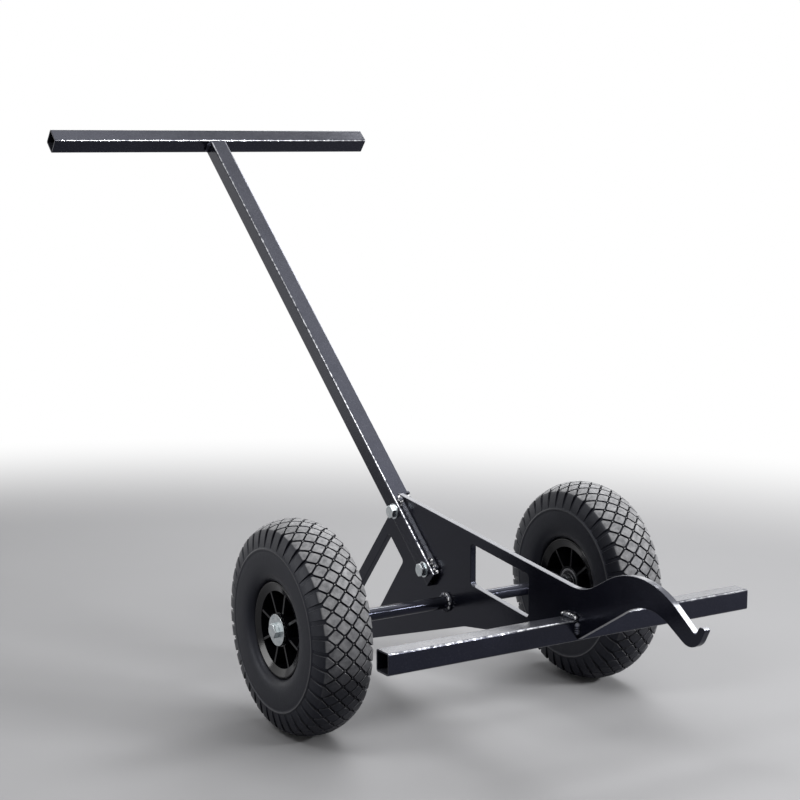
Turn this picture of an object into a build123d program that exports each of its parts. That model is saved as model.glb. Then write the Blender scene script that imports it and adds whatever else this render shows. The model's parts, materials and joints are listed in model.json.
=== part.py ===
"""A two-wheeled cart that lifts floor grates: a hook plate on an axle, a front bar and a T-handle.

Millimetres, +Z up, the ground at z = 0. The hook points to -Y, the handle leans back to +Y and
the axle runs along X. Left and right are those of a person who holds the handle, so right is -X.
The origin is on the ground, at the middle of the cart's length.
"""

import os
from math import atan2, cos, pi, radians, sin, tan

from build123d import *

# Wheels: pneumatic tyres on moulded rims
wheel_diameter = 260.0
track = 428.0
tyre_half_width = 37.5
widest_drop = 44.0
tyre_wall = 4.5
tread_half_width = 31.0
tread_edge_drop = 10.0
tread_thickness = 8.5
shoulder_lean = 26.0
block_pitch = 20.4
block_root = 0.6
block_rows_beside_middle = 2
tread_groove_width = 2.2
tread_groove_depth = 3.0
bead_thickness = 6.0
bead_height = 9.5
bead_clearance = 0.3
ridge_drop = 33.0
ridge_height = 1.4
ridge_width = 3.0
ridge_setback = 1.5
rim_half_width = 31.0
flange_height = 7.0
lip_rounding = 2.0
flange_thickness = 5.0
flange_slope = 4.0
bead_seat_radius = 51.0
barrel_thickness = 4.5
web_thickness = 5.0
hub_radius = 20.5
hub_half_width = 26.0
rib_count = 8
rib_thickness = 3.0
rib_step = 0.5
rib_setback = 0.5
right_rib_phase = -17.5
left_rib_phase = -8.0
tube_gap = 0.4
tube_wall_thickness = 2.2

# Tube valves, bent towards the cart's middle
valve_diameter = 7.0
valve_inset = 13.0
valve_drop = 15.0
valve_reach = 12.0
valve_bend_radius = 6.0
valve_clearance = 0.4
valve_cap_diameter = 9.0
valve_cap_end = 4.0
valve_cap_depth = 6.0
valve_cap_clearance = 0.1

# Ball bearings in the hubs
bearing_bore = 16.0
bearing_outside = 35.0
bearing_width = 11.0
ring_thickness = 2.6
ball_diameter = 6.35
ball_count = 7
ball_clearance = 0.3
shield_thickness = 0.6
shield_inset = 0.5
shield_gap = 0.3
seat_clearance = 0.03
hub_shoulder = 3.5
sleeve_thickness = 2.2

# Axle and what keeps the wheels on it
axle_end_gap = 0.5
collar_thickness = 2.5
collar_width = 8.0
spacer_thickness = 2.0
end_washer_diameter = 38.0
end_washer_thickness = 3.0
end_bolt_length = 25.0

# Hex fasteners of one thread size
bolt_diameter = 10.0
across_flats = 16.0
head_height = 6.4
nut_height = 8.4
hex_chamfer = 0.6
washer_diameter = 20.0
washer_thickness = 2.0
bolt_stick_out = 4.0
thread_gap = 0.05
bolt_clearance = 0.25

# Square tube of the handle and the front bar
tube_side = 25.0
tube_wall = 2.0
tube_corner = 3.0
crossbar_length = 520.0
front_bar_length = 505.0

# Handle: its lean from upright and its two bolts, placed from the axle
handle_lean = 49.0
lower_bolt_back = 38.6
lower_bolt_up = 35.0
bolt_spacing = 95.0
bolt_end_distance = 18.0
handle_reach = 820.0
slot_clearance = 0.25

# Front bar, placed from the axle, and the seat that the plate has for it
bar_ahead = 255.0
bar_up = 28.0
bar_clearance = 0.25
seat_front_depth = 23.0
seat_rear_depth = 31.0

# Hook plate: corners of its outline, placed from the axle, the front bar or back from the hook's tip
plate_thickness = 8.0
axle_clearance = 0.1
hook_ahead_of_bar = 224.0
saddle_ahead_of_bar = 22.0
saddle_up = 74.0
saddle_radius = 71.0
hump_behind_tip = 102.0
hump_up = 131.5
hump_radius = 108.0
notch_behind_tip = 16.0
notch_up = 71.0
notch_radius = 3.5
lip_width = 9.5
lip_up = 81.0
lip_tip_radius = 3.0
claw_behind_tip = 17.0
claw_up = 48.5
claw_radius = 20.0
throat_behind_tip = 92.0
throat_up = 91.0
throat_radius = 66.0
belly_ahead = 40.0
belly_up = -22.0
belly_radius = 60.0
foot_back = 303.0
foot_length = 19.0
foot_rounding = 4.0
leg_below_slot_end = 4.0
leg_width = 15.5

# Windows that lighten the plate
front_window_ahead = 53.5
front_window_length = 120.0
front_window_height = 52.0
top_web = 13.5
window_rounding = 5.0
stem_margin = 45.0
rear_window_along = 46.0
rear_window_back = 172.0
rear_window_up = -56.0

# Welds
weld_leg = 5.0
weld_crown = 0.58
weld_gap = 0.05
stem_weld_inset = 3.0

# Places worked out from the sizes above
axle_height = wheel_diameter / 2
axle_radius = bearing_bore / 2 - seat_clearance
tube_half = tube_side / 2
plate_half = plate_thickness / 2
bolt_radius = bolt_diameter / 2
bolt_hole_radius = bolt_radius + bolt_clearance
lean = radians(handle_lean)
slot_end = bolt_spacing + bolt_end_distance


def along_stem(distance, front=0.0):
    """A point of the plate's plane: up the stem from the lower bolt, and out towards its front face."""
    back = lower_bolt_back + distance * sin(lean) - front * cos(lean)
    up = lower_bolt_up + distance * cos(lean) + front * sin(lean)
    return back, up


def line_through(point, other, offset=0.0):
    """The line from one point to another, moved to its left: a point on it and its direction."""
    run = other[0] - point[0]
    rise = other[1] - point[1]
    length = (run * run + rise * rise) ** 0.5
    moved = (point[0] - offset * rise / length, point[1] + offset * run / length)
    return moved, (run / length, rise / length)


def crossing(line, other):
    """The point where two lines cross."""
    (x, y), (run, rise) = line
    (other_x, other_y), (other_run, other_rise) = other
    share = (other_x - x) * other_rise - (other_y - y) * other_run
    share /= run * other_rise - rise * other_run
    return x + share * run, y + share * rise


# The origin halves the distance from the hook's lip to the crossbar's rear edge
hook_reach = bar_ahead + hook_ahead_of_bar
lip_lean = atan2(lip_up - claw_up, claw_behind_tip)
lip_front = hook_reach - lip_tip_radius * (1 / tan(lip_lean / 2) - 1)
crossbar_back, crossbar_up = along_stem(handle_reach)
crossbar_rear = crossbar_back + (tube_half - tube_corner) * (sin(lean) + cos(lean)) + tube_corner
axle_place = (lip_front - crossbar_rear) / 2
axle_line = Axis((0, axle_place, axle_height), (1, 0, 0))


def place(side_offset, back, up):
    """A point of the cart, from the axle's middle: sideways, back and up."""
    return side_offset, axle_place + back, axle_height + up


def upright(side_offset=0.0, facing=1):
    """The plane of the plate, or one beside it: local x runs back from the axle."""
    return Plane(origin=place(side_offset, 0, 0), x_dir=(0, 1, 0), z_dir=(facing, 0, 0))


def across_stem(distance):
    """A plane square across the stem: local x runs along the axle, local y to the stem's front face."""
    origin = place(0, *along_stem(distance))
    return Plane(origin=origin, x_dir=(-1, 0, 0), z_dir=(0, sin(lean), cos(lean)))


def tube_section():
    """The square tube's ring, drawn in the open sketch."""
    RectangleRounded(tube_side, tube_side, tube_corner)
    inner_side = tube_side - 2 * tube_wall
    inner_corner = max(tube_corner - tube_wall, tube_wall / 4)
    RectangleRounded(inner_side, inner_side, inner_corner, mode=Mode.SUBTRACT)


def round_corners(sketch, *corners):
    """Rounds the sketch's corners nearest to the given points, each by its radius."""
    for corner, radius in corners:
        fillet(sketch.vertices().sort_by_distance(corner)[0], radius)


def save(part, name):
    """Labels a finished piece and writes its file."""
    part.label = name
    export_step(part, f"parts/{name}.step")


os.makedirs("parts", exist_ok=True)

# Hook plate: one thick plate with the lifting hook in front and the leg it stands on behind
stem_corner = along_stem(slot_end, tube_half)
leg_top = along_stem(slot_end - leg_below_slot_end, -tube_half)
saddle = (-bar_ahead - saddle_ahead_of_bar, saddle_up)
hump = (hump_behind_tip - hook_reach, hump_up)
notch = (notch_behind_tip - hook_reach, notch_up)
lip_inside = (lip_width - hook_reach, lip_up)
lip_outside = (-hook_reach, lip_up)
claw = (claw_behind_tip - hook_reach, claw_up)
throat = (throat_behind_tip - hook_reach, throat_up)
belly = (-belly_ahead, belly_up)
foot_front = (foot_back, -axle_height)
foot_rear = (foot_back + foot_length, -axle_height)
seat_half = tube_half + bar_clearance
seat_top = bar_up + seat_half
seat_front = -bar_ahead - seat_half
seat_rear = -bar_ahead + seat_half

top_direction = line_through(stem_corner, saddle)[1]
top_slope = top_direction[1] / top_direction[0]


def below_top_edge(ahead, depth):
    """A point of the plate at a distance ahead of the axle and a depth under its top edge."""
    return -ahead, stem_corner[1] + top_slope * (-ahead - stem_corner[0]) - depth


front_window_front = front_window_ahead + front_window_length
front_window_depth = top_web + front_window_height
front_window = [
    below_top_edge(front_window_ahead, top_web),
    below_top_edge(front_window_ahead, front_window_depth),
    below_top_edge(front_window_front, front_window_depth),
    below_top_edge(front_window_front, top_web),
]
leg_inside = line_through(leg_top, foot_rear, -leg_width)
belly_direction = line_through(foot_front, belly)[1]
rear_window_bottom = (rear_window_back, rear_window_up)
rear_window_front = along_stem(rear_window_along, -stem_margin)
stem_direction = (sin(lean), cos(lean))
rear_window = [
    crossing(leg_inside, (rear_window_front, stem_direction)),
    rear_window_front,
    rear_window_bottom,
    crossing(leg_inside, (rear_window_bottom, belly_direction)),
]

with BuildPart() as hook_plate:
    with BuildSketch(upright()) as outline:
        with BuildLine():
            Polyline(
                stem_corner,
                saddle,
                hump,
                notch,
                lip_inside,
                lip_outside,
                claw,
                throat,
                (seat_front, seat_top - seat_front_depth),
                (seat_front, seat_top),
                (seat_rear, seat_top),
                (seat_rear, seat_top - seat_rear_depth),
                belly,
                foot_front,
                foot_rear,
                leg_top,
                close=True,
            )
        make_face()
        round_corners(
            outline,
            (saddle, saddle_radius),
            (hump, hump_radius),
            (notch, notch_radius),
            (lip_inside, lip_tip_radius),
            (lip_outside, lip_tip_radius),
            (claw, claw_radius),
            (throat, throat_radius),
            (belly, belly_radius),
            (foot_rear, foot_rounding),
        )
    extrude(amount=plate_half, both=True)
    for window in (front_window, rear_window):
        with BuildSketch(upright()) as opening:
            with BuildLine():
                Polyline(*window, close=True)
            make_face()
            fillet(opening.vertices(), window_rounding)
        extrude(amount=plate_half, both=True, mode=Mode.SUBTRACT)
    with BuildSketch(upright()):
        Circle(axle_radius + axle_clearance)
        with Locations(along_stem(0), along_stem(bolt_spacing)):
            Circle(bolt_hole_radius)
    extrude(amount=plate_half, both=True, mode=Mode.SUBTRACT)
save(hook_plate.part, "hook_plate")

# Front bar: a square tube in the plate's seat, open at both ends
with BuildPart() as front_bar:
    with BuildSketch(upright()):
        with Locations((-bar_ahead, bar_up)):
            tube_section()
    extrude(amount=front_bar_length / 2, both=True)
save(front_bar.part, "front_bar")

# Axle: a round bar through the plate, with a tapped hole in each end
hub_outside = track / 2 + hub_half_width
hub_inside = track / 2 - hub_half_width
axle_half = hub_outside - axle_end_gap
spacer_face = hub_outside + spacer_thickness
washer_face = spacer_face + end_washer_thickness
tapped_depth = end_bolt_length - (washer_face - axle_half) + bolt_stick_out
with BuildPart() as axle:
    with BuildSketch(upright()):
        Circle(axle_radius)
    extrude(amount=axle_half, both=True)
    for side in (-1, 1):
        with BuildSketch(upright(side * axle_half, -side)):
            Circle(bolt_radius + thread_gap)
        extrude(amount=tapped_depth, mode=Mode.SUBTRACT)
save(axle.part, "axle")

# Handle stem: a square tube, slotted at its lower end to straddle the plate
stem_top = handle_reach - tube_half
with BuildPart() as handle_stem:
    with BuildSketch(across_stem(-bolt_end_distance)):
        tube_section()
    extrude(amount=stem_top + bolt_end_distance)
    with BuildSketch(across_stem(-bolt_end_distance)):
        Rectangle(plate_thickness + 2 * slot_clearance, 2 * tube_side)
    extrude(amount=bolt_end_distance + slot_end + slot_clearance, mode=Mode.SUBTRACT)
    with BuildSketch(upright()):
        with Locations(along_stem(0), along_stem(bolt_spacing)):
            Circle(bolt_hole_radius)
    extrude(amount=tube_side, both=True, mode=Mode.SUBTRACT)
save(handle_stem.part, "handle_stem")

# Handle crossbar: a square tube across the stem's top end, open at both ends
crossbar_middle = place(0, crossbar_back, crossbar_up)
with BuildPart() as handle_crossbar:
    with BuildSketch(Plane(origin=crossbar_middle, x_dir=(0, *stem_direction), z_dir=(1, 0, 0))):
        tube_section()
    extrude(amount=crossbar_length / 2, both=True)
save(handle_crossbar.part, "handle_crossbar")


def weld_face(base=0.0):
    """The section of a weld bead in the corner of two faces, drawn in the open sketch."""
    crown = weld_crown * weld_leg
    with BuildLine() as outline:
        Line((0, base), (weld_leg, base))
        ThreePointArc((weld_leg, base), (crown, base + crown), (0, base + weld_leg))
        Line((0, base + weld_leg), (0, base))
    make_face(outline.edges())


def add_weld(origin, side, rise, length):
    """A straight bead, with one leg outwards to its side and the other along the given direction."""
    outwards = Vector(side, 0, 0)
    with BuildSketch(Plane(origin=origin, x_dir=outwards, z_dir=outwards.cross(Vector(rise)))) as bead:
        weld_face()
    extrude(bead.sketch, amount=length / 2, both=True)


# Welds of the front bar: a bead on its top, front and rear faces, on each side of the plate
tube_flat = tube_side - 2 * tube_corner
bar_top = bar_up + tube_half
side_weld_length = seat_front_depth - tube_corner - weld_leg
side_weld_up = bar_top - tube_corner - side_weld_length / 2
with BuildPart() as bar_welds:
    for side in (-1, 1):
        add_weld(place(side * plate_half, -bar_ahead, bar_top), side, (0, 0, 1), tube_flat)
        for facing in (-1, 1):
            face = place(side * plate_half, facing * tube_half - bar_ahead, side_weld_up)
            add_weld(face, side, (0, facing, 0), side_weld_length)
save(bar_welds.part, "bar_welds")

# Welds of the axle: a bead all round it on each side of the plate
with BuildPart() as axle_welds:
    for side in (-1, 1):
        foot = place(side * plate_half, 0, 0)
        with BuildSketch(Plane(origin=foot, x_dir=(side, 0, 0), z_dir=(0, -side, 0))):
            weld_face(axle_radius + weld_gap)
        revolve(axis=axle_line)
save(axle_welds.part, "axle_welds")

# Welds of the crossbar: a bead on each side of the stem
with BuildPart() as crossbar_welds:
    for side in (-1, 1):
        corner = place(side * tube_half, *along_stem(stem_top))
        add_weld(corner, side, (0, -sin(lean), -cos(lean)), tube_flat)
save(crossbar_welds.part, "crossbar_welds")

# Welds of the stem: a bead on each side along the joint between its front face and the plate
weld_low = stem_weld_inset - bolt_end_distance
weld_high = slot_end - stem_weld_inset - weld_leg
with BuildPart() as stem_welds:
    for side in (-1, 1):
        corner = place(side * plate_half, *along_stem((weld_low + weld_high) / 2, tube_half))
        add_weld(corner, side, (0, -cos(lean), sin(lean)), weld_high - weld_low)
save(stem_welds.part, "stem_welds")


def add_hexagon(plane, height):
    """A bolt head or nut standing on a plane, its outer corners turned to a cone."""
    with BuildSketch(plane) as hexagon:
        RegularPolygon(across_flats / 2, 6, major_radius=False)
    extrude(hexagon.sketch, amount=height)
    start = across_flats / 2 - hex_chamfer
    corner = across_flats / 2 / cos(radians(30)) + hex_chamfer
    with BuildSketch(Plane(origin=plane.origin, x_dir=plane.x_dir, z_dir=-plane.y_dir)) as cone:
        with BuildLine() as edge:
            Polyline((start, height), (corner, height), (corner, height - (corner - start) / 2), close=True)
        make_face(edge.edges())
    revolve(cone.sketch, axis=Axis(plane.origin, plane.z_dir), mode=Mode.SUBTRACT)


def add_disc(plane, radius, length, mode=Mode.ADD):
    """A round disc, shank or hole that stands on a plane."""
    with BuildSketch(plane) as disc:
        Circle(radius)
    extrude(disc.sketch, amount=length, mode=mode)


def add_ring(plane, inside, outside, length):
    """A flat ring that stands on a plane."""
    with BuildSketch(plane) as ring:
        Circle(outside)
        Circle(inside, mode=Mode.SUBTRACT)
    extrude(ring.sketch, amount=length)


def bolt_plane(distance, side, offset):
    """A plane across a handle bolt that faces outwards, at an offset from the cart's middle."""
    origin = place(side * offset, *along_stem(distance))
    return Plane(origin=origin, x_dir=(0, *stem_direction), z_dir=(side, 0, 0))


# Handle bolts, with their heads on the right, and their washers and nuts
under_head = tube_half + washer_thickness
handle_bolt_length = 2 * under_head + nut_height + bolt_stick_out
handle_bolt_places = (0, bolt_spacing)
with BuildPart() as handle_bolts:
    for distance in handle_bolt_places:
        head_plane = bolt_plane(distance, -1, under_head)
        add_hexagon(head_plane, head_height)
        add_disc(head_plane, bolt_radius, -handle_bolt_length)
save(handle_bolts.part, "handle_bolts")

with BuildPart() as handle_washers:
    for distance in handle_bolt_places:
        for side in (-1, 1):
            washer_plane = bolt_plane(distance, side, tube_half)
            add_ring(washer_plane, bolt_hole_radius, washer_diameter / 2, washer_thickness)
save(handle_washers.part, "handle_washers")

with BuildPart() as handle_nuts:
    for distance in handle_bolt_places:
        nut_plane = bolt_plane(distance, 1, under_head)
        add_hexagon(nut_plane, nut_height)
        add_disc(nut_plane, bolt_radius + thread_gap, nut_height, Mode.SUBTRACT)
save(handle_nuts.part, "handle_nuts")

# Axle collars: rings fixed on the axle, which stop the wheels on their inner side
collar_inside = axle_radius + weld_gap
collar_outside = collar_inside + collar_thickness
with BuildPart() as axle_collars:
    for side in (-1, 1):
        add_ring(upright(side * hub_inside, -side), collar_inside, collar_outside, collar_width)
save(axle_collars.part, "axle_collars")

# Axle ends: a spacer against the bearing, a wide washer and a bolt screwed into the axle
with BuildPart() as axle_spacers:
    for side in (-1, 1):
        add_ring(upright(side * hub_outside, side), bolt_hole_radius, collar_outside, spacer_thickness)
save(axle_spacers.part, "axle_spacers")

with BuildPart() as axle_washers:
    for side in (-1, 1):
        washer_plane = upright(side * spacer_face, side)
        add_ring(washer_plane, bolt_hole_radius, end_washer_diameter / 2, end_washer_thickness)
save(axle_washers.part, "axle_washers")

with BuildPart() as axle_bolts:
    for side in (-1, 1):
        head_plane = upright(side * washer_face, side)
        add_hexagon(head_plane, head_height)
        add_disc(head_plane, bolt_radius, -end_bolt_length)
save(axle_bolts.part, "axle_bolts")


def wheel_section(side, angle=0.0):
    """A plane through a wheel's axis: local x runs outwards along it and local y out to the tread."""
    outwards = Vector(side, 0, 0)
    radial = Vector(0, sin(radians(angle)), cos(radians(angle)))
    return Plane(origin=place(side * track / 2, 0, 0), x_dir=outwards, z_dir=outwards.cross(radial))


bead_outside = rim_half_width - flange_thickness - bead_clearance
bead_inside = bead_outside - bead_thickness
bead_base = bead_seat_radius + bead_clearance
bead_top = bead_base + bead_height
tread_edge = axle_height - tread_edge_drop
widest_radius = axle_height - widest_drop
ridge_radius = axle_height - ridge_drop
shoulder = radians(shoulder_lean)


def cavity_curve(inset=0.0):
    """Half of the tyre's inside, from its crown to its bead, drawn smaller by an inset."""
    crown = (0, axle_height - tread_thickness - inset)
    side_wall = (tyre_half_width - tyre_wall - inset, widest_radius)
    bead = (bead_inside - inset, bead_top)
    Spline(crown, side_wall, tangents=[(1, 0), (0, -1)])
    return Spline(side_wall, bead, tangents=[(0, -1), (-1, -1)])


def cavity_face(inset, mode=Mode.ADD):
    """The space inside the tyre and outside the rim, drawn smaller by an inset in the open sketch."""
    base = bead_seat_radius + inset
    with BuildLine() as outline:
        curve = cavity_curve(inset)
        Polyline(curve @ 1, (bead_inside - inset, base), (0, base))
        mirror(about=Plane.YZ)
    make_face(outline.edges(), mode=mode)


def tread_curve(depth):
    """Adds a shoulder to the open line's half of a tyre section, mirrors it and joins both by the tread.

    The shoulder and the tread are lowered by a depth, which runs out at the tyre's widest place.
    """
    edge = (tread_half_width - depth * sin(shoulder), tread_edge - depth)
    Spline((tyre_half_width, widest_radius), edge, tangents=[(0, 1), (-sin(shoulder), cos(shoulder))])
    mirror(about=Plane.YZ)
    ThreePointArc(edge, (0, axle_height - depth), (-edge[0], edge[1]))


def tread_core(depth):
    """A disc as wide as a tyre in the cart's middle, with the tyre's outside lowered by a depth."""
    with BuildPart() as core:
        with BuildSketch(middle_section):
            with BuildLine():
                tread_curve(depth)
                Line((-tyre_half_width, widest_radius), (tyre_half_width, widest_radius))
            make_face()
        revolve(axis=axle_line)
    return core.part


middle_section = Plane(origin=place(0, 0, 0), x_dir=(1, 0, 0), z_dir=(0, -1, 0))
tread_plane = Plane(origin=place(0, 0, ridge_radius), x_dir=(1, 0, 0), z_dir=(0, 0, 1))
tread_layer = tread_core(0) - tread_core(tread_groove_depth + block_root)


def tread_block(corners, turn):
    """A block of the tread: its outline from above, cut from the tread's layer and turned to its place."""
    with BuildPart() as block:
        with BuildSketch(tread_plane):
            with BuildLine():
                Polyline(*corners, close=True)
            make_face()
        extrude(amount=axle_height)
        add(tread_layer, mode=Mode.INTERSECT)
    return block.part.rotate(axle_line, turn)


# Tread of one pitch: rows of diamonds, every second row turned by half a pitch, and a lug on each shoulder
pitch_count = round(pi * wheel_diameter / block_pitch)
pitch_turn = 360 / pitch_count
row_step = pi * wheel_diameter / pitch_count / 2
block_reach = row_step - tread_groove_width / 2 ** 0.5
lug_end = tyre_half_width + row_step
lug_row = block_rows_beside_middle + 1
pitch_blocks = []
for row in range(1 - lug_row, lug_row):
    middle = row * row_step
    diamond = [
        (middle + block_reach, 0),
        (middle, block_reach),
        (middle - block_reach, 0),
        (middle, -block_reach),
    ]
    pitch_blocks.append(tread_block(diamond, row % 2 * pitch_turn / 2))
for way in (-1, 1):
    middle = way * lug_row * row_step
    lug = [
        (middle - way * block_reach, 0),
        (middle, block_reach),
        (way * lug_end, block_reach),
        (way * lug_end, -block_reach),
        (middle, -block_reach),
    ]
    pitch_blocks.append(tread_block(lug, lug_row % 2 * pitch_turn / 2))

# Tyre: a hollow carcass with its beads between the rim's flanges, a ridge on each sidewall and the tread
with BuildPart() as tyre:
    with BuildSketch(middle_section):
        with BuildLine():
            inside = cavity_curve()
            toe = Polyline(
                inside @ 1,
                (bead_inside, bead_base),
                (bead_outside, bead_base),
                (bead_outside, bead_top),
            )
            Spline(toe @ 1, (tyre_half_width, widest_radius), tangents=[(1, 0), (0, 1)])
            tread_curve(tread_groove_depth)
        make_face()
        for way in (-1, 1):
            ridge_base = way * (tyre_half_width - tyre_wall / 2)
            ridge_top = way * (tyre_half_width - ridge_setback + ridge_height)
            with BuildLine():
                Polyline(
                    (ridge_base, ridge_radius - ridge_width / 2),
                    (ridge_top, ridge_radius - ridge_width / 4),
                    (ridge_top, ridge_radius + ridge_width / 4),
                    (ridge_base, ridge_radius + ridge_width / 2),
                    close=True,
                )
            make_face()
    revolve(axis=axle_line)
    turns = [count * pitch_turn for count in range(pitch_count)]
    add([block.rotate(axle_line, turn) for turn in turns for block in pitch_blocks])

lip_radius = bead_seat_radius + flange_height
barrel_inside = bead_seat_radius - barrel_thickness
flange_inside = rim_half_width - flange_thickness
web_overlap = barrel_thickness / 2
rib_hub_half_width = hub_half_width - rib_step
rib_rim_half_width = rim_half_width - flange_slope - rib_setback
rib_pitch = 360 / rib_count
valve_radius = valve_diameter / 2
valve_end = valve_inset + valve_reach
valve_level = bead_seat_radius - valve_drop
bearing_middle = hub_half_width - bearing_width / 2
pitch_radius = (bearing_bore + bearing_outside) / 4
groove_radius = ball_diameter / 2 + ball_clearance
inner_land = bearing_bore / 2 + ring_thickness
outer_land = bearing_outside / 2 - ring_thickness
sleeve_half = hub_half_width - bearing_width
shield_middle = bearing_width / 2 - shield_inset - shield_thickness / 2
shield_inside = inner_land + shield_gap
shield_outside = outer_land - seat_clearance

for name, side, rib_phase in (("right", -1, right_rib_phase), ("left", 1, left_rib_phase)):
    section = wheel_section(side)
    valve_angle = rib_phase + 180 - rib_pitch / 2
    valve_section = wheel_section(side, valve_angle)
    valve_root = Plane(
        origin=valve_section.from_local_coords((-valve_inset, 0, 0)),
        x_dir=valve_section.x_dir,
        z_dir=valve_section.y_dir,
    )

    # A tyre on each wheel, both from one mould
    with BuildPart() as wheel_tyre:
        with Locations((side * track / 2, 0, 0)):
            add(tyre.part)
    save(wheel_tyre.part, f"{name}_tyre")

    # Inner tube: it fills the tyre and has a hole for the valve
    with BuildPart() as inner_tube:
        with BuildSketch(section):
            cavity_face(tube_gap)
            cavity_face(tube_gap + tube_wall_thickness, Mode.SUBTRACT)
        revolve(axis=axle_line)
        add_disc(valve_root, valve_radius + seat_clearance, widest_radius, Mode.SUBTRACT)
    save(inner_tube.part, f"{name}_inner_tube")

    # Valve stem: from the inner tube through the rim, bent to where a pump reaches it
    with BuildPart() as valve_stem:
        with BuildLine(valve_section) as valve_path:
            FilletPolyline(
                (-valve_inset, bead_seat_radius + tube_gap + tube_wall_thickness),
                (-valve_inset, valve_level),
                (-valve_end, valve_level),
                radius=valve_bend_radius,
            )
        with BuildSketch(valve_path.line ^ 0):
            Circle(valve_radius)
        sweep()
    save(valve_stem.part, f"{name}_valve_stem")

    # Valve cap: a closed sleeve over the valve's end
    cap_plane = Plane(
        origin=valve_section.from_local_coords((valve_cap_depth - valve_end, valve_level, 0)),
        x_dir=valve_section.y_dir,
        z_dir=-valve_section.x_dir,
    )
    with BuildPart() as valve_cap:
        add_disc(cap_plane, valve_cap_diameter / 2, valve_cap_depth + valve_cap_end)
        add_disc(cap_plane, valve_radius + valve_cap_clearance, valve_cap_depth, Mode.SUBTRACT)
    save(valve_cap.part, f"{name}_valve_cap")

    # Rim: a moulding with a flanged barrel, a middle web, a hub and ribs on both sides of the web
    with BuildPart() as rim:
        with BuildSketch(section) as profile:
            with BuildLine():
                Polyline(
                    (0, bead_seat_radius),
                    (flange_inside, bead_seat_radius),
                    (flange_inside, lip_radius),
                    (rim_half_width, lip_radius),
                    (rim_half_width - flange_slope, barrel_inside),
                    (0, barrel_inside),
                )
                mirror(about=Plane.YZ)
            make_face()
            lip_edge = profile.vertices().group_by(Axis.Y)[-1]
            fillet(lip_edge, lip_rounding)
            with Locations((0, hub_radius - web_overlap)):
                web_reach = barrel_inside - hub_radius + 2 * web_overlap
                Rectangle(web_thickness, web_reach, align=(Align.CENTER, Align.MIN))
            with Locations((0, bearing_outside / 2 - hub_shoulder)):
                hub_wall = hub_radius - bearing_outside / 2 + hub_shoulder
                Rectangle(2 * hub_half_width, hub_wall, align=(Align.CENTER, Align.MIN))
            with Locations((-bearing_middle, 0), (bearing_middle, 0)):
                pocket = bearing_outside / 2 + seat_clearance
                Rectangle(bearing_width, pocket, align=(Align.CENTER, Align.MIN), mode=Mode.SUBTRACT)
        revolve(axis=axle_line)
        for count in range(rib_count):
            with BuildSketch(wheel_section(side, rib_phase + count * rib_pitch)):
                with BuildLine():
                    Polyline(
                        (rib_hub_half_width, hub_radius - web_overlap),
                        (rib_rim_half_width, barrel_inside + web_overlap),
                        (-rib_rim_half_width, barrel_inside + web_overlap),
                        (-rib_hub_half_width, hub_radius - web_overlap),
                        close=True,
                    )
                make_face()
            extrude(amount=rib_thickness / 2, both=True)
        valve_start = valve_root.offset(barrel_inside - web_overlap)
        add_disc(valve_start, valve_radius + valve_clearance, 2 * barrel_thickness, Mode.SUBTRACT)
    save(rim.part, f"{name}_rim")

    # Bearings: outer rings in the hub, inner rings on the axle, balls and shields between them
    with BuildPart() as outer_rings:
        with BuildSketch(section):
            with Locations((-bearing_middle, outer_land), (bearing_middle, outer_land)):
                Rectangle(bearing_width, ring_thickness, align=(Align.CENTER, Align.MIN))
            with Locations((-bearing_middle, pitch_radius), (bearing_middle, pitch_radius)):
                Circle(groove_radius, mode=Mode.SUBTRACT)
        revolve(axis=axle_line)
    save(outer_rings.part, f"{name}_bearing_outer_rings")

    with BuildPart() as inner_rings:
        with BuildSketch(section):
            with Locations((-bearing_middle, bearing_bore / 2), (bearing_middle, bearing_bore / 2)):
                Rectangle(bearing_width, ring_thickness, align=(Align.CENTER, Align.MIN))
            with Locations((-bearing_middle, pitch_radius), (bearing_middle, pitch_radius)):
                Circle(groove_radius, mode=Mode.SUBTRACT)
        revolve(axis=axle_line)
    save(inner_rings.part, f"{name}_bearing_inner_rings")

    with BuildPart() as balls:
        for count in range(ball_count):
            ball_section = wheel_section(side, rib_phase + count * 360 / ball_count)
            for way in (-1, 1):
                with Locations(ball_section.from_local_coords((way * bearing_middle, pitch_radius, 0))):
                    Sphere(ball_diameter / 2)
    save(balls.part, f"{name}_bearing_balls")

    with BuildPart() as shields:
        with BuildSketch(section):
            for way in (-1, 1):
                shield_places = [way * bearing_middle - shield_middle, way * bearing_middle + shield_middle]
                with Locations([(x, shield_inside) for x in shield_places]):
                    shield_reach = shield_outside - shield_inside
                    Rectangle(shield_thickness, shield_reach, align=(Align.CENTER, Align.MIN))
        revolve(axis=axle_line)
    save(shields.part, f"{name}_bearing_shields")

    # Hub sleeve: it keeps the inner rings apart on the axle
    with BuildPart() as hub_sleeve:
        sleeve_plane = upright(side * track / 2 - sleeve_half)
        add_ring(sleeve_plane, bearing_bore / 2, bearing_bore / 2 + sleeve_thickness, 2 * sleeve_half)
    save(hub_sleeve.part, f"{name}_hub_sleeve")
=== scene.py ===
import bisect
import json
import math

import bmesh
import bpy
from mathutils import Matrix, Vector, noise


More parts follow.
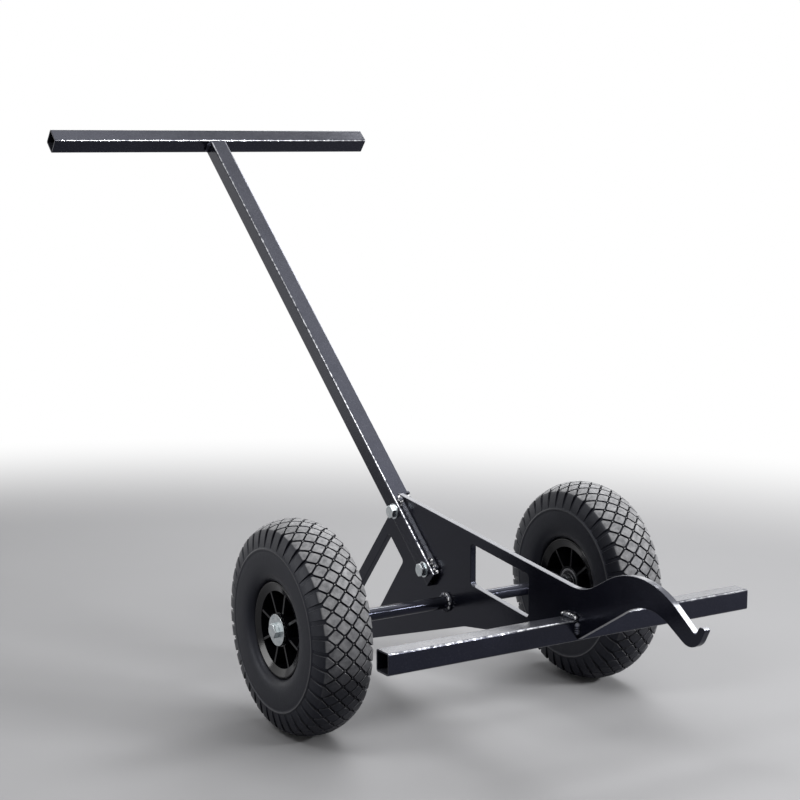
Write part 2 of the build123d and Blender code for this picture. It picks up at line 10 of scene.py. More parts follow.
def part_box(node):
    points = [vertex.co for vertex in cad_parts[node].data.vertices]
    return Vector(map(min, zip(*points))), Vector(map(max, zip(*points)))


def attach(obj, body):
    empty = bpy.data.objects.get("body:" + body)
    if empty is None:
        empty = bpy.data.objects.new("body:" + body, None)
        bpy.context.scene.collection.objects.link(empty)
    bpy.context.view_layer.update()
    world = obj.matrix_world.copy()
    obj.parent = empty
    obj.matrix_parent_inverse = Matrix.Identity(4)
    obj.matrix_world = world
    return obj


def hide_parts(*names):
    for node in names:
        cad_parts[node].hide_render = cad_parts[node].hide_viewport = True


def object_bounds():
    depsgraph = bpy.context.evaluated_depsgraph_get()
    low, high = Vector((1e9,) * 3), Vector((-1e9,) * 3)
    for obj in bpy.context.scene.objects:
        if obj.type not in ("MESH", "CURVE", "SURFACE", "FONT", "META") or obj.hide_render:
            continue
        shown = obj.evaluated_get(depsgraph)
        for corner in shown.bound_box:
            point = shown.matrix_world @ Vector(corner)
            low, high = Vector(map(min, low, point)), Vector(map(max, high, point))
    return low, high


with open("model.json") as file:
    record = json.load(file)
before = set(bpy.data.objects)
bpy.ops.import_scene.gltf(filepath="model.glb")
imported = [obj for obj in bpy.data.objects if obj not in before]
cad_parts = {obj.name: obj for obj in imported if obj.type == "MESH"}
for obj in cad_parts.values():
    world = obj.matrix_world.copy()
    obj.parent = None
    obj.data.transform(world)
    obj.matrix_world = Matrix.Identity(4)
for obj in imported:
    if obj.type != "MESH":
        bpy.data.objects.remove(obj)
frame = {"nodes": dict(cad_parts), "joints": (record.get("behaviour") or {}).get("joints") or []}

cad_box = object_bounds()


# Hook plate: the cart's backbone, cut from 8 mm steel plate and powder coated gloss black.
# The coat has a fine orange peel and a little dust on what faces up. Cut edges are broken, and the
# grates have rubbed the hook's slope bare, which is painted pale there as a painted highlight too.
MM = 0.001
coat_black = (0.003, 0.0033, 0.0065, 1)
coat_grey = (0.006, 0.0066, 0.012, 1)
dust_and_sheen_grey = (0.31, 0.32, 0.36, 1)
rubbed_and_highlight_grey = (0.62, 0.63, 0.66, 1)
notch_back = 16.0 * MM
notch_height = 201.0 * MM
slope_rise = 60.5
slope_run = 86.0


def feed(tree, socket, value):
    """Gives a node's input a plain value or another node's output."""
    if isinstance(value, bpy.types.NodeSocket):
        tree.links.new(value, socket)
    else:
        socket.default_value = value


def add_node(tree, kind, inputs, **settings):
    """Adds a shader node; each input is a plain value or another node's output."""
    node = tree.nodes.new(f"ShaderNode{kind}")
    for name, value in settings.items():
        setattr(node, name, value)
    for name, value in inputs.items():
        feed(tree, node.inputs[name], value)
    return node


def calculate(tree, operation, *values, clamp=False):
    """A number worked out from plain values or other nodes' outputs."""
    inputs = dict(enumerate(values))
    return add_node(tree, "Math", inputs, operation=operation, use_clamp=clamp).outputs[0]


def measure(tree, operation, *values):
    """A length, a distance, or how far one direction agrees with another."""
    return add_node(tree, "VectorMath", dict(enumerate(values)), operation=operation).outputs["Value"]


def arrow(tree, operation, *values):
    """A direction, or the way from one place to another."""
    return add_node(tree, "VectorMath", dict(enumerate(values)), operation=operation).outputs["Vector"]


def span(tree, value, low, high, start=0.0, end=1.0, shape="LINEAR"):
    """A value that runs from low to high while the given one runs from start to end."""
    limits = {"Value": value, "From Min": start, "From Max": end, "To Min": low, "To Max": high}
    return add_node(tree, "MapRange", limits, interpolation_type=shape).outputs["Result"]


def new_effect(name, inputs, output, vectors=("Position",)):
    """Starts a shader node group with vector inputs, float inputs and one float output."""
    tree = bpy.data.node_groups.new(name, "ShaderNodeTree")
    for socket_name in vectors:
        tree.interface.new_socket(socket_name, in_out="INPUT", socket_type="NodeSocketVector")
    for socket_name in inputs:
        tree.interface.new_socket(socket_name, in_out="INPUT", socket_type="NodeSocketFloat")
    tree.interface.new_socket(output, in_out="OUTPUT", socket_type="NodeSocketFloat")
    return tree, tree.nodes.new("NodeGroupInput").outputs, tree.nodes.new("NodeGroupOutput").inputs


def make_mottle():
    """Cloudy patches: 0 to 1, harder edged with more contrast."""
    tree, given, result = new_effect("mottle", ("Scale", "Contrast"), "Mask")
    cloud = add_node(tree, "TexNoise", {"Vector": given["Position"], "Scale": given["Scale"],
                                        "Detail": 6.0, "Roughness": 0.6})
    centred = calculate(tree, "SUBTRACT", cloud.outputs["Fac"], 0.5)
    spread = calculate(tree, "MULTIPLY_ADD", centred, given["Contrast"], 0.5, clamp=True)
    feed(tree, result["Mask"], spread)
    return tree


def make_grain():
    """The fine unevenness of a coated, cast or moulded skin, as a height: low swells with finer pits."""
    pits_per_swell = 3.7
    pit_share = 0.35
    tree, given, result = new_effect("grain", ("Scale",), "Height")
    swells = add_node(tree, "TexNoise", {"Vector": given["Position"], "Scale": given["Scale"], "Detail": 2.0})
    pit_scale = calculate(tree, "MULTIPLY", given["Scale"], pits_per_swell)
    pits = add_node(tree, "TexVoronoi", {"Vector": given["Position"], "Scale": pit_scale})
    height = calculate(tree, "MULTIPLY_ADD", pits.outputs["Distance"], pit_share, swells.outputs["Fac"])
    feed(tree, result["Height"], height)
    return tree


def make_specks():
    """Scattered small specks, such as dust or flakes: 1 on a speck and 0 elsewhere."""
    edge_steepness = 6.0
    tree, given, result = new_effect("specks", ("Scale", "Amount"), "Mask")
    cells = add_node(tree, "TexVoronoi", {"Vector": given["Position"], "Scale": given["Scale"]})
    inside = calculate(tree, "SUBTRACT", given["Amount"], cells.outputs["Distance"])
    feed(tree, result["Mask"], calculate(tree, "MULTIPLY", inside, edge_steepness, clamp=True))
    return tree


def make_settled_dust_and_sheen():
    """Dust by how far a surface faces up, from none to full, and thinner in some places; on the weld beads
    and the tyres' tread it is also a painted sheen, paler where light falls from above.
    """
    thinnest = 0.55
    tree, given, result = new_effect("settled_dust_and_sheen", ("Facing", "None At", "Full At", "Amount"), "Mask")
    cloud = add_node(tree, "TexNoise", {"Vector": given["Position"], "Scale": 34.0, "Detail": 7.0,
                                        "Roughness": 0.7})
    patches = span(tree, cloud.outputs["Fac"], thinnest, 1.0, start=0.3, end=0.7)
    top = span(tree, given["Facing"], 0.0, 1.0, given["None At"], given["Full At"], "SMOOTHSTEP")
    lying = calculate(tree, "MULTIPLY", top, patches)
    feed(tree, result["Mask"], calculate(tree, "MULTIPLY", lying, given["Amount"]))
    return tree


def make_edge_wear_and_highlight():
    """The coat scuffed off along a rounded corner, with a painted highlight on the same band: its sharp
    corner and the way it faces are given.
    """
    nick_depth = 1.0 * MM
    rubbed_and_highlit_from = -0.95 * MM
    rubbed_and_highlit_through = -0.7 * MM
    most_wear_and_highlight = 0.95
    tree, given, result = new_effect("edge_wear_and_highlight", (), "Mask", ("Position", "Corner", "Facing"))
    off_corner = arrow(tree, "SUBTRACT", given["Position"], given["Corner"])
    outwards = arrow(tree, "NORMALIZE", given["Facing"])
    depth = measure(tree, "DOT_PRODUCT", off_corner, outwards)
    nicks = add_node(tree, "TexNoise", {"Vector": given["Position"], "Scale": 190.0, "Detail": 6.0,
                                        "Roughness": 0.6})
    uneven = calculate(tree, "MULTIPLY_ADD", nicks.outputs["Fac"], nick_depth, depth)
    feed(tree, result["Mask"], span(tree, uneven, 0.0, most_wear_and_highlight, rubbed_and_highlit_from, rubbed_and_highlit_through))
    return tree


mottle = make_mottle()
grain = make_grain()
specks = make_specks()
settled_dust_and_sheen = make_settled_dust_and_sheen()
edge_wear_and_highlight = make_edge_wear_and_highlight()


def new_finish(name):
    """A new material: its tree, its shader and the place on the piece, in metres."""
    finish = bpy.data.materials.new(name)
    finish.use_nodes = True
    tree = finish.node_tree
    spot = add_node(tree, "TexCoord", {}).outputs["Object"]
    return finish, tree, tree.nodes["Principled BSDF"], spot


def effect(tree, group, **inputs):
    """Places a shared effect in a material and gives what it puts out."""
    return add_node(tree, "Group", inputs, node_tree=group).outputs[0]


def blend_colours(tree, mask, first, second):
    """One colour where the mask is 0, the other where it is 1."""
    inputs = {"Factor": mask, "A": first, "B": second}
    return add_node(tree, "Mix", inputs, data_type="RGBA").outputs["Result"]


def rough_skin(tree, shader, spot, scale, strength, depth):
    """Gives a surface its grain, without changing its outline."""
    height = effect(tree, grain, Position=spot, Scale=scale)
    bump = add_node(tree, "Bump", {"Height": height, "Strength": strength, "Distance": depth})
    tree.links.new(bump.outputs["Normal"], shader.inputs["Normal"])


def dust_and_sheen_lying(tree, spot, amount, none_at=-0.05, full_at=0.65):
    """Where dust lies on a piece, and the painted sheen that goes with it on the weld beads and the tread, by
    how far each place of it faces up.
    """
    normal = add_node(tree, "NewGeometry", {}).outputs["Normal"]
    facing = add_node(tree, "SeparateXYZ", {"Vector": normal}).outputs["Z"]
    limits = {"None At": none_at, "Full At": full_at}
    return effect(tree, settled_dust_and_sheen, Position=spot, Facing=facing, Amount=amount, **limits)


def worn_and_highlit_slope(tree, spot, start, facing):
    """Where the grates have scuffed the hook's slope to metal, also a painted highlight: from its notch up,
    on the face that faces this way.
    """
    rubbed_and_highlit_length = 38.0 * MM
    fading_length = 48.0 * MM
    nick_length = 9.0 * MM
    most_wear_and_highlight = 0.9
    normal = add_node(tree, "NewGeometry", {}).outputs["Normal"]
    turned = measure(tree, "DOT_PRODUCT", normal, facing)
    on_slope = span(tree, turned, 0.0, 1.0, start=0.86, end=0.97)
    uphill = Vector((0, facing.z, -facing.y))
    from_notch = arrow(tree, "SUBTRACT", spot, start)
    along = measure(tree, "DOT_PRODUCT", from_notch, uphill)
    nicks = effect(tree, mottle, Position=spot, Scale=120.0, Contrast=2.4)
    uneven = calculate(tree, "MULTIPLY_ADD", nicks, nick_length, along)
    rubbed_and_highlit = span(tree, uneven, 0.0, most_wear_and_highlight, start=fading_length, end=rubbed_and_highlit_length)
    return calculate(tree, "MULTIPLY", on_slope, rubbed_and_highlit)


def make_black_coat(name, speck_amount, dust_and_sheen_amount, worn_and_highlit_corners=(), worn_and_highlit_slopes=(),
                    roughness=(0.13, 0.22)):
    """Gloss black powder coat: orange peel, cloudy gloss, paler specks, dust on top, and scuffed places that
    are also painted highlights; on the weld beads the dust on top is also a painted sheen.
    """
    speck_strength = 0.12
    finish, tree, shader, spot = new_finish(name)
    clouds = effect(tree, mottle, Position=spot, Scale=26.0, Contrast=1.6)
    flakes = effect(tree, specks, Position=spot, Scale=520.0, Amount=speck_amount)
    base = blend_colours(tree, clouds, coat_black, coat_grey)
    flaked = blend_colours(tree, span(tree, flakes, 0.0, speck_strength), base, dust_and_sheen_grey)
    colour = blend_colours(tree, dust_and_sheen_lying(tree, spot, dust_and_sheen_amount), flaked, dust_and_sheen_grey)
    # Rubbed places are pale bare metal: partly wear, partly a painted highlight on the corners and the hook's
    # slope.
    worn_and_highlit = [effect(tree, edge_wear_and_highlight, Position=spot, Corner=corner, Facing=facing)
            for corner, facing in worn_and_highlit_corners]
    worn_and_highlit += [worn_and_highlit_slope(tree, spot, start, facing) for start, facing in worn_and_highlit_slopes]
    bare_and_highlit = 0.0
    for rubbed_and_highlit in worn_and_highlit:
        colour = blend_colours(tree, rubbed_and_highlit, colour, rubbed_and_highlight_grey)
        bare_and_highlit = calculate(tree, "MAXIMUM", bare_and_highlit, rubbed_and_highlit)
    feed(tree, shader.inputs["Metallic"], bare_and_highlit)
    feed(tree, shader.inputs["Base Color"], colour)
    feed(tree, shader.inputs["Roughness"], span(tree, clouds, *roughness))
    rough_skin(tree, shader, spot, scale=420.0, strength=0.12, depth=0.4 * MM)
    shader.inputs["Specular IOR Level"].default_value = 0.3
    shader.inputs["Specular Tint"].default_value = (0.68, 0.72, 1.0, 1)
    return finish


def dress(node, finish, edge_width=0.6, corner_angle=30.0):
    """Gives a CAD piece its finish and breaks its sharp edges by a small bevel, its width in mm."""
    piece = frame["nodes"][node]
    piece.data.materials.clear()
    piece.data.materials.append(finish)
    weld = piece.modifiers.new("join", "WELD")
    weld.merge_threshold = 0.002 * MM
    flat = piece.modifiers.new("flat", "DECIMATE")
    flat.decimate_type = "DISSOLVE"
    flat.angle_limit = math.radians(0.4)
    edge = piece.modifiers.new("edge", "BEVEL")
    edge.width = edge_width * MM
    edge.segments = 3
    edge.limit_method = "ANGLE"
    edge.angle_limit = math.radians(corner_angle)
    edge.use_clamp_overlap = False
    piece.modifiers.new("shading", "WEIGHTED_NORMAL")


plate_low, plate_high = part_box("hook_plate")
hook_notch = Vector((0, plate_low.y + notch_back, plate_low.z + notch_height))
slope_facing = Vector((0, -slope_rise, slope_run)).normalized()
# The pale slope on the hook is wear and a painted highlight.
plate_coat = make_black_coat("plate_coat", speck_amount=0.16, dust_and_sheen_amount=0.3,
                             worn_and_highlit_slopes=[(hook_notch, slope_facing)])
dress("hook_plate", plate_coat)


# Front bar: 25 mm square steel tube across the plate's seat, coated with it and open at both ends.
# It is welded into the seat before coating, and its upper front corner is rubbed bright: worn, and a painted
# highlight along it.
bar_low, bar_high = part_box("front_bar")
bar_corner = Vector((0, bar_low.y, bar_high.z))
bar_coat = make_black_coat("bar_coat", speck_amount=0.2, dust_and_sheen_amount=0.14,
                           worn_and_highlit_corners=[(bar_corner, Vector((0, -1, 1)))])
dress("front_bar", bar_coat, edge_width=0.3)


# Axle: a round steel bar through the plate, coated between the wheels to a higher gloss.
# It is welded to the plate before coating.
axle_coat = make_black_coat("axle_coat", speck_amount=0.2, dust_and_sheen_amount=0.06, roughness=(0.05, 0.1))
dress("axle", axle_coat, edge_width=0.4)


# Handle stem and crossbar: 25 mm square tube with drawn corners, coated gloss black.
# The stem is slotted over the plate at its foot; the crossbar is welded across its top. Hands and
# gloves have rubbed the stem's front corners and the crossbar's front one; these pale lines are also painted
# highlights.
handle_lean = math.radians(49.0)
lower_bolt = Vector((0, 38.6, 35.0)) * MM
handle_reach = 820.0 * MM
to_sides = (Vector((-1, 0, 0)), Vector((1, 0, 0)))
tube_half = 0.5 * (bar_high.y - bar_low.y)
axle_low, axle_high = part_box("axle")
axle_middle = 0.5 * (axle_low + axle_high)
stem_foot = axle_middle + lower_bolt


def stem_direction(along, front):
    """A direction in the plate's plane, along the stem and towards its front face."""
    back = along * math.sin(handle_lean) - front * math.cos(handle_lean)
    up = along * math.cos(handle_lean) + front * math.sin(handle_lean)
    return Vector((0, back, up))


stem_front = stem_direction(0, 1)
stem_edges = [(stem_foot + tube_half * (stem_front + side), stem_front + side) for side in to_sides]
crossbar_middle = stem_foot + stem_direction(handle_reach, 0)
under_front = stem_direction(-1, 1)
crossbar_edge = (crossbar_middle + tube_half * under_front, under_front)
stem_coat = make_black_coat("stem_coat", speck_amount=0.34, dust_and_sheen_amount=0.1, worn_and_highlit_corners=stem_edges)
dress("handle_stem", stem_coat, edge_width=0.3)
crossbar_coat = make_black_coat("crossbar_coat", speck_amount=0.3, dust_and_sheen_amount=0.1,
                                worn_and_highlit_corners=[crossbar_edge])
dress("handle_crossbar", crossbar_coat, edge_width=0.3)


# Welds: arc-welded beads where the bar, the axle and the handle meet the plate and each other.
# Each is a row of overlapping ripples, coated over with the frame and dusty on top, with a painted sheen
# there. The coat on the drops of weld metal is chipped down to bright steel in patches, which are also
# painted highlights.
weld_leg = 5.0 * MM
weld_sink = 0.6 * MM
bead_crown = 0.14
bead_waver = 0.16
waver_scale = 230.0
ripple_pitch = 2.3 * MM
ripple_height = 0.11
ripple_bow = 0.45
swell_from_end = 4.5 * MM
swell_spread = 3.2 * MM
blunt_end = 0.08
end_taper = 0.7 * weld_leg
bead_step = 0.36 * MM
bead_sides = 8
drop_unevenness = 0.3
drop_place_scale = 900.0
drop_lump_scale = 400.0
drop_out = 3.0 * MM
tube_corner = 3.0 * MM
bar_weld_gap = 0.5 * MM
seat_depth = 15.0 * MM
stem_weld_low = -15.0 * MM
stem_weld_high = 106.0 * MM
stem_top = handle_reach - tube_half
bar_middle_y = 0.5 * (bar_low.y + bar_high.y)
axle_radius = 0.5 * (axle_high.z - axle_low.z)
glinting_bare_steel = (0.88, 0.88, 0.9, 1)
# The beads' heavy pale top is dust and a painted sheen, standing in for their highlights.
bead_coat = make_black_coat("bead_coat", speck_amount=0.4, dust_and_sheen_amount=0.8)


def new_piece(name, shape, finish):
    """Makes a finished mesh into a piece of the cart, smooth but for its sharp edges."""
    sharp_angle = math.radians(40.0)
    mesh = bpy.data.meshes.new(name)
    bmesh.ops.recalc_face_normals(shape, faces=shape.faces)
    for face in shape.faces:
        face.smooth = True
    for edge in shape.edges:
        edge.smooth = edge.calc_face_angle(math.pi) < sharp_angle
    shape.to_mesh(mesh)
    shape.free()
    mesh.materials.append(finish)
    piece = bpy.data.objects.new(name, mesh)
    bpy.context.scene.collection.objects.link(piece)
    return piece


def skin_rows(shape, rows, closed=False):
    """Joins rows of points, each a closed loop, by faces, and caps the two ends of an open run."""
    loops = [[shape.verts.new(point) for point in row] for row in rows]
    count = len(loops[0])
    pairs = list(zip(loops, loops[1:]))
    if closed:
        pairs.append((loops[-1], loops[0]))
    for loop, following in pairs:
        for index in range(count):
            after = (index + 1) % count
            shape.faces.new((loop[index], loop[after], following[after], following[index]))
    if not closed:
        shape.faces.new(loops[0])
        shape.faces.new(loops[-1])


def lay_bead(shape, path, end_swell=0.0, closed=False):
    """Lays a rippled bead along a path of corners: each a point and the directions of its two legs."""
    length = 0.0
    runs = [0.0]
    for (point, _, _), (following, _, _) in zip(path, path[1:]):
        length += (following - point).length
        runs.append(length)
    rows = []
    for run, (point, side, rise) in zip(runs, path):
        from_end = min(run, length - run)
        swell = 1.0 + bead_waver * noise.noise(point * waver_scale)
        if not closed:
            swell += end_swell * math.exp(-((from_end - swell_from_end) / swell_spread) ** 2)
            swell *= math.sqrt(min(1.0, blunt_end + from_end / end_taper))
        row = [point - weld_sink * (side + rise)]
        for step in range(bead_sides + 1):
            turn = step / bead_sides
            crown = math.sin(math.pi * turn)
            phase = run / ripple_pitch + ripple_bow * crown
            ripple = 1.0 - (phase - math.floor(phase)) ** 2
            fullness = 1.0 - bead_crown + bead_crown * crown + ripple_height * ripple * crown
            reach = weld_leg * swell * fullness
            angle = 0.5 * math.pi * turn
            across = math.cos(angle) * reach - weld_sink * turn
            up = math.sin(angle) * reach - weld_sink * (1.0 - turn)
            row.append(point + across * side + up * rise)
        rows.append(row)
    skin_rows(shape, rows, closed)


def straight_path(start, end, side, rise):
    """Corners along a straight weld."""
    count = max(2, round((end - start).length / bead_step))
    return [(start.lerp(end, index / count), side, rise) for index in range(count + 1)]


def add_drop(shape, centre, radius):
    """A drop of weld metal on a bead or at its end."""
    made = bmesh.ops.create_icosphere(shape, subdivisions=3, radius=radius)
    for vertex in made["verts"]:
        lump = noise.noise(centre * drop_place_scale + vertex.co * drop_lump_scale)
        vertex.co = centre + vertex.co * (1.0 + drop_unevenness * lump)


def make_chipped_and_glinting_coat():
    """Black coat knocked off the weld drops in patches, down to bright steel that also stands in for their
    glints, as painted highlights.
    """
    finish, tree, shader, spot = new_finish("chipped_and_glinting_coat")
    # The bright steel patches are chips and painted highlights.
    chips_and_glints = effect(tree, mottle, Position=spot, Scale=330.0, Contrast=6.0)
    feed(tree, shader.inputs["Base Color"], blend_colours(tree, chips_and_glints, coat_grey, glinting_bare_steel))
    feed(tree, shader.inputs["Metallic"], chips_and_glints)
    feed(tree, shader.inputs["Roughness"], span(tree, chips_and_glints, 0.08, 0.2))
    rough_skin(tree, shader, spot, scale=420.0, strength=0.15, depth=0.4 * MM)
    return finish


bar_shape = bmesh.new()
for side in to_sides:
    on_plate = plate_high.x * side
    middle = Vector((0, bar_middle_y, bar_high.z)) + on_plate
    half_run = Vector((0, tube_half - bar_weld_gap, 0))
    path = straight_path(middle - half_run, middle + half_run, side, Vector((0, 0, 1)))
    lay_bead(bar_shape, path, end_swell=0.1)
    for facing, face in ((-1, bar_low.y), (1, bar_high.y)):
        top = Vector((0, face, bar_high.z - tube_corner)) + on_plate
        bottom = top - Vector((0, 0, seat_depth))
        lay_bead(bar_shape, straight_path(top, bottom, side, Vector((0, facing, 0))))
bar_beads = new_piece("bar_weld_beads", bar_shape, bead_coat)

axle_shape = bmesh.new()
ring_count = round(2 * math.pi * axle_radius / bead_step)
for side in to_sides:
    path = []
    for index in range(ring_count):
        angle = 2 * math.pi * index / ring_count
        outwards = Vector((0, math.sin(angle), math.cos(angle)))
        path.append((axle_middle + plate_high.x * side + axle_radius * outwards, side, outwards))
    lay_bead(axle_shape, path, closed=True)
axle_beads = new_piece("axle_weld_beads", axle_shape, bead_coat)

stem_shape = bmesh.new()
for side in to_sides:
    corner = stem_foot + plate_high.x * side + stem_direction(0, tube_half)
    low = corner + stem_direction(stem_weld_low, 0)
    high = corner + stem_direction(stem_weld_high, 0)
    lay_bead(stem_shape, straight_path(low, high, side, stem_front), end_swell=0.35)
stray_drop = stem_foot + Vector((11 * MM, 0, 0)) + stem_direction(112 * MM, 13 * MM)
add_drop(stem_shape, stray_drop, 2.6 * MM)
stem_beads = new_piece("stem_weld_beads", stem_shape, bead_coat)

# The drops' places and radii in mm: on the stem along it, out from the plate and to its front; on the
# axle degrees round it and out from it; on the bar along the plate and up from it.
stem_drops = ((-15.5, 2.6, 1.4, 2.5), (-12.0, 4.8, 2.0, 2.2), (-8.0, 2.8, 3.6, 2.8), (-3.5, 5.0, 2.4, 2.3),
              (1.0, 3.0, 3.8, 2.5), (5.5, 4.8, 2.2, 1.8), (93.0, 4.6, 2.0, 1.6), (97.0, 2.8, 3.6, 2.4),
              (101.0, 4.8, 2.0, 2.1), (105.0, 2.8, 3.0, 2.5))
ring_drops = ((8, 3.4, 2.2), (32, 4.0, 1.8), (58, 3.4, 2.3), (86, 3.8, 1.9), (114, 3.2, 2.1))
bar_drops = ((-12.0, 2.8, 2.6), (-9.0, 4.6, 2.3), (-5.0, 4.2, 2.0), (-1.0, 4.8, 2.2), (3.5, 4.4, 2.0),
             (7.5, 4.6, 1.9), (11.0, 2.8, 2.2))
drop_shape = bmesh.new()
for side in to_sides:
    beside_plate = (plate_high.x + drop_out) * side
    for along, out, front, radius in stem_drops:
        foot = stem_foot + (plate_high.x + out * MM) * side
        add_drop(drop_shape, foot + stem_direction(along * MM, tube_half + front * MM), radius * MM)
    for degrees, lift, radius in ring_drops:
        angle = math.radians(degrees)
        outwards = Vector((0, -math.sin(angle), math.cos(angle)))
        centre = axle_middle + beside_plate + (axle_radius + lift * MM) * outwards
        add_drop(drop_shape, centre, radius * MM)
    for along, lift, radius in bar_drops:
        spot_on_bar = Vector((0, bar_middle_y + along * MM, bar_high.z + lift * MM))
        add_drop(drop_shape, spot_on_bar + beside_plate, radius * MM)
weld_drops = new_piece("weld_drops", drop_shape, make_chipped_and_glinting_coat())
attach(weld_drops, "frame")

crossbar_shape = bmesh.new()
half_run = stem_direction(0, tube_half - tube_corner)
for side in to_sides:
    corner = stem_foot + tube_half * side + stem_direction(stem_top, 0)
    path = straight_path(corner - half_run, corner + half_run, side, stem_direction(-1, 0))
    lay_bead(crossbar_shape, path, end_swell=0.2)
crossbar_beads = new_piece("crossbar_weld_beads", crossbar_shape, axle_coat)

for beads, node in ((bar_beads, "bar_welds"), (axle_beads, "axle_welds"), (stem_beads, "stem_welds"),
                    (crossbar_beads, "crossbar_welds")):
    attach(beads, "frame")
    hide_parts(node)


# Handle bolts, washers and nuts: M10 hexagon fasteners, zinc plated, through the stem and the plate.
# The plating is bright, a little cloudy, and bluish where it is dull.
def clouded_finish(name, scale, contrast, colours, roughness):
    """A finish whose colour and gloss change in cloudy patches."""
    finish, tree, shader, spot = new_finish(name)
    clouds = effect(tree, mottle, Position=spot, Scale=scale, Contrast=contrast)
    feed(tree, shader.inputs["Base Color"], blend_colours(tree, clouds, *colours))
    feed(tree, shader.inputs["Roughness"], span(tree, clouds, *roughness))
    return finish, tree, shader, spot


def make_zinc(name, scale, dull, bright):
    """Zinc plating with cloudy passivation."""
    finish, tree, shader, spot = clouded_finish(name, scale, 2.2, (dull, bright), roughness=(0.3, 0.12))
    rough_skin(tree, shader, spot, scale=900.0, strength=0.15, depth=0.2 * MM)
    shader.inputs["Metallic"].default_value = 1.0
    return finish


zinc = make_zinc("zinc_plating", 160.0, dull=(0.42, 0.47, 0.49, 1), bright=(0.8, 0.83, 0.84, 1))
for node in ("handle_bolts", "handle_washers", "handle_nuts"):
    dress(node, zinc, edge_width=0.25)


# Hub bearings, sleeves and collars: ground steel rings and balls with pressed, blackened shields, two
# bearings in each hub. A turned sleeve keeps the inner rings apart, and a dull zinc collar on the
# axle stops each wheel on its inner side.
def make_bearing_steel(name, dark, bright):
    """Steel with faint polishing marks."""
    finish, _, shader, _ = clouded_finish(name, 420.0, 1.4, (dark, bright), roughness=(0.34, 0.22))
    shader.inputs["Metallic"].default_value = 1.0
    return finish


bearing_steel = make_bearing_steel("bearing_steel", dark=(0.16, 0.16, 0.17, 1), bright=(0.26, 0.26, 0.27, 1))
black_steel = make_bearing_steel("shield_steel", dark=(0.02, 0.02, 0.022, 1), bright=(0.045, 0.045, 0.05, 1))
dull_zinc = make_zinc("dull_zinc", 220.0, dull=(0.07, 0.075, 0.08, 1), bright=(0.16, 0.165, 0.17, 1))
dress("axle_collars", dull_zinc, edge_width=0.3)
for side in ("right", "left"):
    for part in ("bearing_outer_rings", "bearing_inner_rings"):
        dress(f"{side}_{part}", bearing_steel, edge_width=0.2)
    dress(f"{side}_bearing_shields", black_steel, edge_width=0.15)
    dress(f"{side}_bearing_balls", bearing_steel, edge_width=0.05, corner_angle=60.0)
    dress(f"{side}_hub_sleeve", zinc, edge_width=0.2)


# Rims: moulded black plastic with a flanged barrel, a middle web and eight ribs round the hub.
# The moulding is glossy with faint flow marks, and its lip holds the tyre's bead.
def make_rim_plastic():
    """Black moulded plastic with faint flow marks."""
    colours = ((0.003, 0.003, 0.004, 1), (0.006, 0.006, 0.008, 1))
    finish, tree, shader, spot = clouded_finish("rim_plastic", 34.0, 1.5, colours, roughness=(0.08, 0.13))
    rough_skin(tree, shader, spot, scale=700.0, strength=0.06, depth=0.2 * MM)
    shader.inputs["Specular IOR Level"].default_value = 0.3
    return finish


rim_plastic = make_rim_plastic()
for side in ("right", "left"):
    dress(f"{side}_rim", rim_plastic, edge_width=0.35)
    frame["nodes"][f"{side}_rim"].modifiers["edge"].use_clamp_overlap = True


# Inner tubes and valves: butyl tubes inside the tyres, with a bent brass valve and a knurled plastic cap.
# The valve comes through the rim's barrel on the cart's inner side.
cap_knurls = 20
knurl_depth = 0.35 * MM


def make_plain_rubber(name, dark, pale, roughness):
    """Smooth black rubber or plastic, slightly clouded."""
    finish, tree, shader, spot = clouded_finish(name, 60.0, 1.6, (dark, pale), (roughness, roughness + 0.12))
    rough_skin(tree, shader, spot, scale=600.0, strength=0.2, depth=0.3 * MM)
    return finish


def make_brass():
    """Dull turned brass."""
    colours = ((0.42, 0.31, 0.14, 1), (0.66, 0.52, 0.27, 1))
    finish, _, shader, _ = clouded_finish("valve_brass", 240.0, 2.0, colours, roughness=(0.42, 0.26))
    shader.inputs["Metallic"].default_value = 1.0
    return finish


def build_cap(shape, outwards, low, high):
    """A valve cap along X: a ring at its mouth, a knurled grip and a domed end."""
    middle = 0.5 * (low + high)
    radius = 0.5 * (high.z - low.z)
    length = high.x - low.x
    mouth = low.x if outwards > 0 else high.x
    # Shares of the length and of the radius, and 1 where it is knurled.
    stations = ((0.0, 0.8, 0), (0.0, 1.0, 0), (0.12, 1.0, 0), (0.16, 0.96, 1), (0.78, 0.96, 1),
                (0.84, 0.92, 0), (0.94, 0.8, 0), (1.0, 0.55, 0))
    rows = []
    for share, width, knurled in stations:
        row = []
        for index in range(2 * cap_knurls):
            angle = math.pi * index / cap_knurls
            reach = radius * width - knurled * knurl_depth * (index % 2)
            row.append(Vector((mouth + outwards * share * length, middle.y + reach * math.sin(angle),
                               middle.z + reach * math.cos(angle))))
        rows.append(row)
    skin_rows(shape, rows)


tube_rubber = make_plain_rubber("tube_rubber", (0.012, 0.012, 0.013, 1), (0.02, 0.02, 0.021, 1), 0.55)
cap_plastic = make_plain_rubber("cap_plastic", (0.008, 0.008, 0.008, 1), (0.016, 0.016, 0.017, 1), 0.5)
valve_brass = make_brass()
for side, towards_middle in (("right", 1), ("left", -1)):
    dress(f"{side}_inner_tube", tube_rubber, edge_width=0.2)
    dress(f"{side}_valve_stem", valve_brass, edge_width=0.3)
    cap_shape = bmesh.new()
    build_cap(cap_shape, towards_middle, *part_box(f"{side}_valve_cap"))
    cap = new_piece(f"{side}_knurled_cap", cap_shape, cap_plastic)
    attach(cap, f"{side}_wheel")
    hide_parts(f"{side}_valve_cap")


